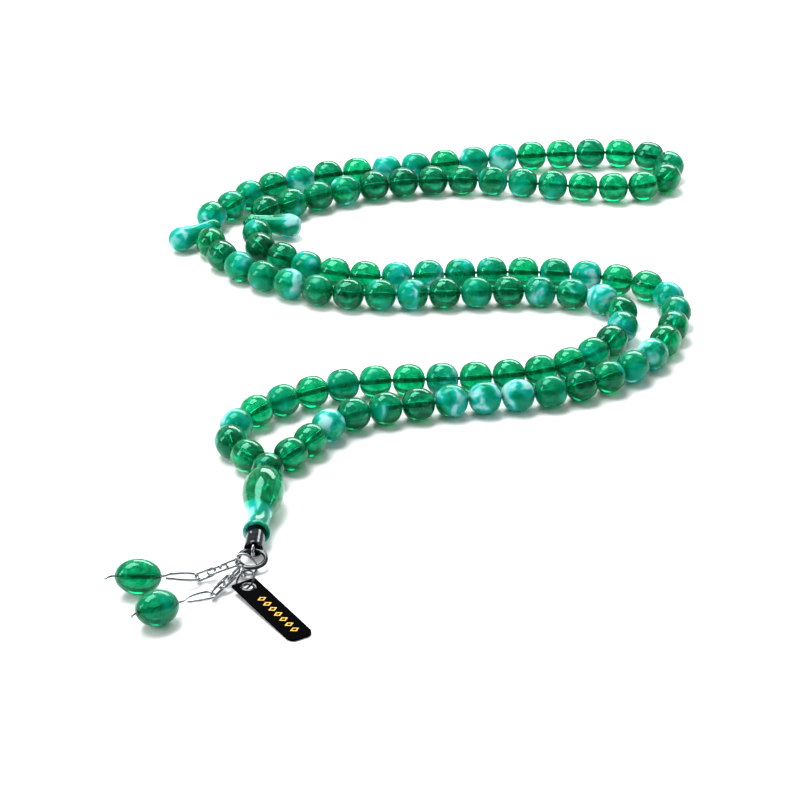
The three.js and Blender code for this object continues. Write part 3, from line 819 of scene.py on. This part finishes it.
# ---- Metal ----
def metal(name, points, faces, body, node, finish=STEEL, sharp=35):
    settle(plain_object(name, points, faces, finish, sharp), body, [node])


def circle(at, x, y, radius, steps):
    turns = [2 * math.pi * k / steps for k in range(steps)]
    return [at + x * radius * math.cos(a) + y * radius * math.sin(a) for a in turns]


FERRULE = {"r": 2.14, "wall": 0.39, "top": 20.7, "end": 28.3, "web": 25.6, "web_thick": 0.8}
FERRULE_HOLE_R = 0.6
CRIMP = {"at": 24.6, "wide": 0.55, "deep": 0.3, "facing": (0.35, 0.94)}


def ferrule():
    """A crimped tube with rolled lips and one punched dimple that holds the knot."""
    r, wall, top, end = FERRULE["r"], FERRULE["wall"], FERRULE["top"], FERRULE["end"]
    web, web_end = FERRULE["web"], FERRULE["web"] + FERRULE["web_thick"]
    inner = r - wall
    side = [(r, top + 0.15 + (end - top - 0.3) * k / 44) for k in range(45)]
    outline = [
        (inner, top + 0.1), (inner + 0.1, top), (r - 0.12, top), *side, (r - 0.04, end - 0.05),
        (r - 0.15, end), (inner, end), (inner, web_end), (FERRULE_HOLE_R, web_end),
        (FERRULE_HOLE_R, web), (inner, web),
    ]
    points, faces = lathe(outline, 72, bored=True)
    x, z = CRIMP["facing"]
    centre = Vector((r * x, CRIMP["at"], r * z))
    for p in points:
        near = (p - centre).length / CRIMP["wide"]
        outside = math.hypot(p.x, p.z) > r - 0.02
        if near < 1 and outside:
            dent = CRIMP["deep"] * (1 - near**2) ** 2
            p -= Vector((x, 0, z)) * dent
    metal("ferrule_steel", [IMAME_FRAME @ p for p in points], faces, "imame", "ferrule", STEEL_PAINTED_DARK)


ferrule()

EYE = {"ring_r": 1.2, "wire_r": 0.38, "centre": 28.6, "stem_r": 0.32}
RIVET = {"r": 1.15, "start": 25.05, "end": 25.5}


def ferrule_eye():
    """A riveted stem that opens into an upright eye."""
    stem_end = EYE["centre"] - EYE["ring_r"]
    rivet, rivet_faces = lathe(
        [
            (0, RIVET["start"]), (RIVET["r"] - 0.12, RIVET["start"]),
            (RIVET["r"], RIVET["start"] + 0.12), (RIVET["r"], RIVET["end"]),
            (EYE["stem_r"], RIVET["end"]), (EYE["stem_r"], stem_end), (0, stem_end),
        ],
        32,
        bored=False,
    )
    path = circle(Vector((0, EYE["centre"], 0)), Vector((0, 1, 0)), UP, EYE["ring_r"], 64)
    loop, loop_faces = tube(path, EYE["wire_r"], 16, closed=True)
    shift = len(rivet)
    faces = rivet_faces + [[i + shift for i in face] for face in loop_faces]
    points = [IMAME_FRAME @ p for p in rivet + loop]
    metal("eye_steel", points, faces, "imame", "ferrule_eye")


ferrule_eye()

SPLIT_RING = {"ring_r": 3.0, "wire_r": 0.46, "hang": 28.4, "slope": 0.17}
SPLIT_RING_CUT = 2.2  # where round the ring its two ends lie, in radians
SPLIT_RING_CROSSING = 14  # how suddenly the wire steps from one turn to the other
SPLIT_RING_FLAT = 0.52  # how much of the wire's thickness was rolled away


def split_ring():
    """Two turns of one flattened wire pressed together, with its two cut ends a step apart."""
    level = UP.cross(IMAME_ALONG).normalized()
    down = Vector((IMAME_ALONG.x, IMAME_ALONG.y, -SPLIT_RING["slope"])).normalized()
    centre = IMAME_AT + IMAME_ALONG * SPLIT_RING["hang"] + down * SPLIT_RING["ring_r"]
    facing = level.cross(down)
    half_wire, steps = SPLIT_RING["wire_r"] / 2, 160
    path = []
    for k in range(steps + 1):
        part = k / steps
        a = SPLIT_RING_CUT + 4 * math.pi * part
        rise = half_wire * math.tanh(SPLIT_RING_CROSSING * (part - 0.5))
        out = level * math.cos(a) + down * math.sin(a)
        path.append(centre + out * SPLIT_RING["ring_r"] + facing * rise)
    sides = 16
    points, faces = tube(path, SPLIT_RING["wire_r"], sides, closed=False)
    for i, point in enumerate(points):
        off = point - path[i // sides]
        points[i] = point - facing * off.dot(facing) * SPLIT_RING_FLAT
    metal("split_ring_steel", points, faces, "split_ring", "split_ring", STEEL_PAINTED_DARK)


split_ring()

WIRE_EASE = 0.93  # the jump ring, the links and the pins are drawn at this share of their wire_r
JUMP = {"ring_r": 2.6, "wire_r": 0.34, "cut_at": 300, "cut": 3.0}
JUMP_AT = Vector((-39.28, -92.34, 2.04))
JUMP_FACING = Vector((0.55, -0.3, 0.78)).normalized()
JUMP_RIGHT = (Vector((1, 0, 0)) - JUMP_FACING * JUMP_FACING.x).normalized()
JUMP_DOWN = JUMP_RIGHT.cross(JUMP_FACING)


def on_jump_ring(degrees):
    a = math.radians(degrees)
    return JUMP_AT + (JUMP_RIGHT * math.cos(a) + JUMP_DOWN * math.sin(a)) * JUMP["ring_r"]


def jump_wire_at(degrees):
    return (on_jump_ring(degrees + 90) - JUMP_AT).normalized()


def jump_ring():
    """A round wire ring, open by a hair where it was closed with pliers."""
    steps, cut = 90, JUMP["cut"]
    turns = [JUMP["cut_at"] + cut / 2 + (360 - cut) * k / steps for k in range(steps + 1)]
    wire_r = JUMP["wire_r"] * WIRE_EASE
    points, faces = tube([on_jump_ring(t) for t in turns], wire_r, 16, closed=False)
    metal("jump_ring_steel", points, faces, "jump_ring", "jump_ring")


jump_ring()

LINK = {"width": 1.9, "wire_r": 0.33, "slack": 0.16}
TAG_LINK = {"width": 2.0, "wire_r": 0.28, "slack": 0.3}
LINKS_IN_CHAIN = 3
FIRST_LINK_TURN = (170, 130)
TAG_LINK_TURN = 100
TAG_RING_WIRE_R = 0.22


def stadium(length, width, steps):
    """A closed oval of two straight sides and two half circles."""
    bend, side = width / 2, length - width
    around = 2 * math.pi * bend + 2 * side
    path = []
    for k in range(steps):
        s = around * k / steps
        flip = -1 if s >= around / 2 else 1
        s -= around / 2 if flip < 0 else 0
        turn = min(s, math.pi * bend) / bend - math.pi / 2
        x = side / 2 + bend * math.cos(turn) - max(0, s - math.pi * bend)
        path.append(Vector((x * flip, bend * math.sin(turn) * flip, 0)))
    return path


def link(name, body, start, end, size, hooked_wire_r, ends, facing):
    x = (end - start).normalized()
    z = (facing - x * facing.dot(x)).normalized()
    length = (end - start).length + ends
    hook = hooked_wire_r + size["wire_r"] + size["slack"]
    at = basis(start + x * (length / 2 - hook), x, z.cross(x), z)
    path = [at @ p for p in stadium(length, size["width"], 72)]
    points, faces = tube(path, size["wire_r"] * WIRE_EASE, 14, closed=True)
    metal(name, points, faces, body, body)


PIN = {"wire_r": 0.33, "loop_length": 8.1, "loop_half": 1.5, "tail": 2.6}
TASSEL_BEAD = {"r": 3.88, "half": 5.1, "z": 3.95, "bore_r": 0.42}
LOOP_TIP = (Vector((-49.3, -96.3, 1.35)), Vector((-45.9, -103.2, 1.35)))
TASSEL_BEAD_AT = (
    Vector((-62.1, -100.4, TASSEL_BEAD["z"])),
    Vector((-57.3, -113.2, TASSEL_BEAD["z"])),
)


def eye_pin(number, tip, bead_at):
    """Wire bent into a long loop, then straight through the bead to a curled tail."""
    at = frame_along(bead_at, tip - bead_at)
    tip_at = (tip - bead_at).length
    neck, half = tip_at - PIN["loop_length"], PIN["loop_half"]
    out = -TASSEL_BEAD["half"]
    bend = [
        (0.75, neck + 0.35), (half * 0.72, neck + 1.9), (half, tip_at - 2.4),
        (half * 0.8, tip_at - 0.7), (0, tip_at), (-half * 0.8, tip_at - 0.7),
        (-half, tip_at - 2.4), (-half * 0.72, neck + 1.9), (-0.2, neck + 0.1),
        (0, neck - 1.2), (0, 0), (0, out), (0, out - 0.9), (0.45, out - 1.9),
        (1.15, out - PIN["tail"]),
    ]
    corners = [at @ Vector((x, y, 0)) for x, y in bend]
    points, faces = tube(evenly(corners, 160), PIN["wire_r"] * WIRE_EASE, 14, closed=False)
    metal(f"pin_{number}_steel", points, faces, f"eye_pin_{number}", f"eye_pin_{number}")
    reach = TASSEL_BEAD["half"] * 1.02  # the ends are cut off by the bore
    resin_piece(
        f"tassel_resin_{number}",
        bored_ball(TASSEL_BEAD["r"], reach, TASSEL_BEAD["bore_r"], 2, 0.14, 0.2, 30),
        at, True, 0.3, 0.6, 95.0 + number,
        f"tassel_bead_{number}", [f"tassel_bead_{number}"],
    )


def chain(number, turn, tip, bead_at):
    """Link on edge, link flat, link on edge, then the eye pin's loop."""
    start = on_jump_ring(turn)
    along = tip - start
    on_edge = along.cross(UP).normalized()
    facings = [on_edge + jump_wire_at(turn), UP, on_edge]
    for i, facing in enumerate(facings):
        hooked = JUMP["wire_r"] if i == 0 else LINK["wire_r"]
        ends = hooked + 3 * LINK["wire_r"] + 2 * LINK["slack"]
        name = f"chain_{number}_steel_{i + 1}"
        here, there = start + along * i / LINKS_IN_CHAIN, start + along * (i + 1) / LINKS_IN_CHAIN
        link(name, f"chain_{number}_link_{i + 1}", here, there, LINK, hooked, ends, facing)
    eye_pin(number, tip, bead_at)


chain(1, FIRST_LINK_TURN[0], LOOP_TIP[0], TASSEL_BEAD_AT[0])
chain(2, FIRST_LINK_TURN[1], LOOP_TIP[1], TASSEL_BEAD_AT[1])

# ---- Tag ----
TAG = {"length": 24, "width": 5.9, "thick": 0.6, "hole_in": 2.2, "hole_r": 1.72}
EYELET = {"inner": 1.02, "sleeve": 1.17, "flange": 1.65, "inside": 0.14, "outside": 0.27}
TAG_HOLE = Vector((-38.5, -101.1, 1.6))
TAG_ALONG = Vector((0.55, -0.835, 0)).normalized()
TAG_RING_TOP = Vector((-40, -96.8, 2.6))
TAG_RING_LEAN = math.radians(-42)
LOZENGES = {"pitch": 2.2, "first": 4.4, "last": 19.6, "size": 0.6, "line": 0.18, "squat": 0.7}
PRINT_DEPTH = 0.06  # how far down the eased edge the print may reach
TAG_DROP = (TAG_HOLE.z - TAG["thick"] / 2) / (TAG["length"] - TAG["hole_in"])


def black_card_with_gold():
    """Satin black card with a printed row of small gold lozenges."""
    made, tree, shader = material("satin_black_card_gold_print", **{"Specular IOR Level": 0.0})
    local = add(tree, "ShaderNodeAttribute", attribute_name="local").outputs["Vector"]
    x, y, z = add(tree, "ShaderNodeSeparateXYZ", {0: local}).outputs

    # Each lozenge and its gap repeat along x. Its outline is where the way along and the squat
    # way across add up to one size.
    half_pitch = LOZENGES["pitch"] / 2
    moved = add(tree, "ShaderNodeMath", {0: x, 1: half_pitch}, operation="ADD").outputs[0]
    along = add(
        tree, "ShaderNodeMath", {0: moved, 1: half_pitch}, operation="PINGPONG"
    ).outputs[0]
    across = add(tree, "ShaderNodeMath", {0: y}, operation="ABSOLUTE").outputs[0]
    away = add(
        tree,
        "ShaderNodeMath",
        {0: across, 1: LOZENGES["squat"], 2: along},
        operation="MULTIPLY_ADD",
    ).outputs[0]

    line = add(
        tree,
        "ShaderNodeMath",
        {0: away, 1: LOZENGES["size"], 2: LOZENGES["line"]},
        operation="COMPARE",
    ).outputs[0]
    middle = (LOZENGES["first"] + LOZENGES["last"]) / 2
    row = add(
        tree, "ShaderNodeMath", {0: x, 1: middle, 2: LOZENGES["last"] - middle}, operation="COMPARE"
    ).outputs[0]
    face = TAG["thick"] / 2 - PRINT_DEPTH
    front = add(tree, "ShaderNodeMath", {0: z, 1: face}, operation="GREATER_THAN").outputs[0]
    in_row = add(tree, "ShaderNodeMath", {0: line, 1: row}, operation="MULTIPLY").outputs[0]
    gold = add(tree, "ShaderNodeMath", {0: in_row, 1: front}, operation="MULTIPLY").outputs[0]

    # Grain about 0.2 mm wide keeps the black from looking like a hole.
    grain = add(
        tree, "ShaderNodeTexNoise", {"Vector": local, "Scale": 6.0, "Detail": 3.0}
    ).outputs["Fac"]
    card = add(
        tree, "ShaderNodeValToRGB", {"Fac": grain}, stops=[(0.3, "#040405"), (0.7, "#0C0C0E")]
    ).outputs["Color"]
    colour = add(
        tree, "ShaderNodeMix", {"Factor": gold, 6: card, 7: linear("#A98A34")}, data_type="RGBA"
    ).outputs[2]
    tree.links.new(colour, shader.inputs["Base Color"])
    tree.links.new(gold, shader.inputs["Metallic"])
    rough = add(tree, "ShaderNodeMath", {0: grain, 1: 0.16, 2: 0.42}, operation="MULTIPLY_ADD")
    tree.links.new(rough.outputs[0], shader.inputs["Roughness"])
    return made


def tag_plate(at):
    """A thin plate: square corners by the eyelet, rounded at the far end, with eased edges."""
    w, near = TAG["width"] / 2, -TAG["hole_in"]
    far, corner, steps = TAG["length"] - TAG["hole_in"], 1.6, 8
    outline = [(near + 0.12, w), (near, w - 0.12), (near, 0.12 - w), (near + 0.12, -w)]
    for centre_y, first in ((corner - w, -90), (w - corner, 0)):
        for k in range(steps + 1):
            a = math.radians(first + 90 * k / steps)
            outline.append(
                (far - corner + corner * math.cos(a), centre_y + corner * math.sin(a))
            )
    curve = bpy.data.curves.new("tag_outline", "CURVE")
    curve.dimensions = "2D"
    curve.fill_mode = "BOTH"
    ease = 0.07
    curve.extrude = TAG["thick"] / 2 - ease
    curve.bevel_depth = ease
    curve.bevel_resolution = 2
    curve.offset = -ease
    hole_turns = [2 * math.pi * k / 40 for k in range(40)]
    hole = [(TAG["hole_r"] * math.cos(a), TAG["hole_r"] * math.sin(a)) for a in hole_turns]
    for loop in (outline, hole):
        spline = curve.splines.new("POLY")
        spline.points.add(len(loop) - 1)
        for point, (x, y) in zip(spline.points, loop):
            point.co = (x, y, 0, 1)
        spline.use_cyclic_u = True
    source = bpy.data.objects.new("tag_outline", curve)
    bpy.context.scene.collection.objects.link(source)
    graph = bpy.context.evaluated_depsgraph_get()
    filled = bpy.data.meshes.new_from_object(source.evaluated_get(graph))
    bpy.data.objects.remove(source)
    work = bmesh.new()
    work.from_mesh(filled)
    bmesh.ops.remove_doubles(work, verts=work.verts, dist=1e-4)
    work.verts.ensure_lookup_table()
    local = [v.co.copy() for v in work.verts]
    faces = [[v.index for v in face.verts] for face in work.faces]
    work.free()
    finish = black_card_with_gold()
    obj = plain_object("tag_card", [at @ p for p in local], faces, finish, sharp=35)
    give_local(obj, local)
    settle(obj, "tag", ["tag_plate"])


def tag():
    down = (TAG_HOLE - TAG_RING_TOP).normalized()
    level = down.cross(UP).normalized()
    across = level * math.cos(TAG_RING_LEAN) + level.cross(down) * math.sin(TAG_RING_LEAN)
    middle = TAG_RING_TOP.lerp(TAG_HOLE, 0.5)
    path = circle(middle, across, down, (TAG_HOLE - middle).length, 96)
    points, faces = tube(path, TAG_RING_WIRE_R, 12, closed=True)
    metal("tag_ring_wire", points, faces, "tag_ring", "tag_ring", ENAMEL)

    start = on_jump_ring(TAG_LINK_TURN)
    ends = JUMP["wire_r"] + TAG_RING_WIRE_R + 2 * (TAG_LINK["wire_r"] + TAG_LINK["slack"])
    facing = across + jump_wire_at(TAG_LINK_TURN)
    link("tag_link_steel", "tag_link", start, TAG_RING_TOP, TAG_LINK, JUMP["wire_r"], ends, facing)

    x = Vector((TAG_ALONG.x, TAG_ALONG.y, -TAG_DROP)).normalized()
    y = UP.cross(x).normalized()
    at = basis(TAG_HOLE, x, y, x.cross(y))
    tag_plate(at)

    inner, sleeve, flange = EYELET["inner"], EYELET["sleeve"], EYELET["flange"]
    inside, outside = EYELET["inside"], EYELET["outside"]
    outline = [
        (inner, -outside + 0.05), (inner + 0.08, -outside), (flange - 0.08, -outside),
        (flange, -outside + 0.06), (flange - 0.02, -inside), (sleeve, -inside), (sleeve, inside),
        (flange - 0.02, inside), (flange, outside - 0.05), (flange - 0.08, outside),
        (inner + 0.08, outside), (inner, outside - 0.05),
    ]
    points, faces = lathe(outline, 48, bored=True)
    lying = at @ Matrix.Rotation(math.pi / 2, 4, "X")
    metal("eyelet_steel", [lying @ p for p in points], faces, "tag", "tag_eyelet", STEEL_PAINTED_DARK)


tag()


# ---- Stage: a plain pale floor, soft lights and dark cards for the metal to reflect ----
def stage_plane(name, at, size, turn, finish):
    mesh = bpy.data.meshes.new(name)
    w, h = size[0] / 2, size[1] / 2
    mesh.from_pydata([(-w, -h, 0), (w, -h, 0), (w, h, 0), (-w, h, 0)], [], [(0, 1, 2, 3)])
    mesh.materials.append(finish)
    obj = bpy.data.objects.new(name, mesh)
    obj.location = at
    obj.rotation_euler = turn
    bpy.context.scene.collection.objects.link(obj)


def soft_light(name, at, size, power, aim=(0, 0, 0)):
    data = bpy.data.lights.new(name, "AREA")
    data.shape = "RECTANGLE"
    data.size, data.size_y = size
    data.energy = power
    obj = bpy.data.objects.new(name, data)
    obj.location = at
    obj.rotation_euler = (Vector(aim) - Vector(at)).to_track_quat("-Z", "Y").to_euler()
    bpy.context.scene.collection.objects.link(obj)


pale, _, _ = material("pale_floor", **{"Base Color": linear("#F3F5F5"), "Roughness": 0.7})
dark, _, _ = material("dark_card", **{"Base Color": linear("#0A0A0B"), "Roughness": 0.9})
FLOOR_DROP = 0.00005  # keeps the floor off the undersides of the beads
stage_plane("floor", (0, 0, -FLOOR_DROP), (6, 6), (0, 0, 0), pale)
stage_plane("card_front", (-0.1, -1.25, 0.5), (1.5, 0.75), (math.radians(70), 0, 0), dark)
stage_plane("card_right", (0.95, -0.1, 0.3), (0.9, 0.6), (0, math.radians(80), 0), dark)

soft_light("key", (-0.3, 0.3, 1.0), (0.8, 0.55), 17)
soft_light("back", (0.25, 1.0, 0.6), (1.0, 0.35), 11)
soft_light("left", (-0.95, -0.2, 0.5), (0.25, 0.6), 5)

world = bpy.data.worlds.new("studio")
world.use_nodes = True
world.node_tree.nodes["Background"].inputs["Color"].default_value = (1, 1, 1, 1)
world.node_tree.nodes["Background"].inputs["Strength"].default_value = 0.5
bpy.context.scene.world = world
bpy.context.scene.view_settings.view_transform = "Standard"
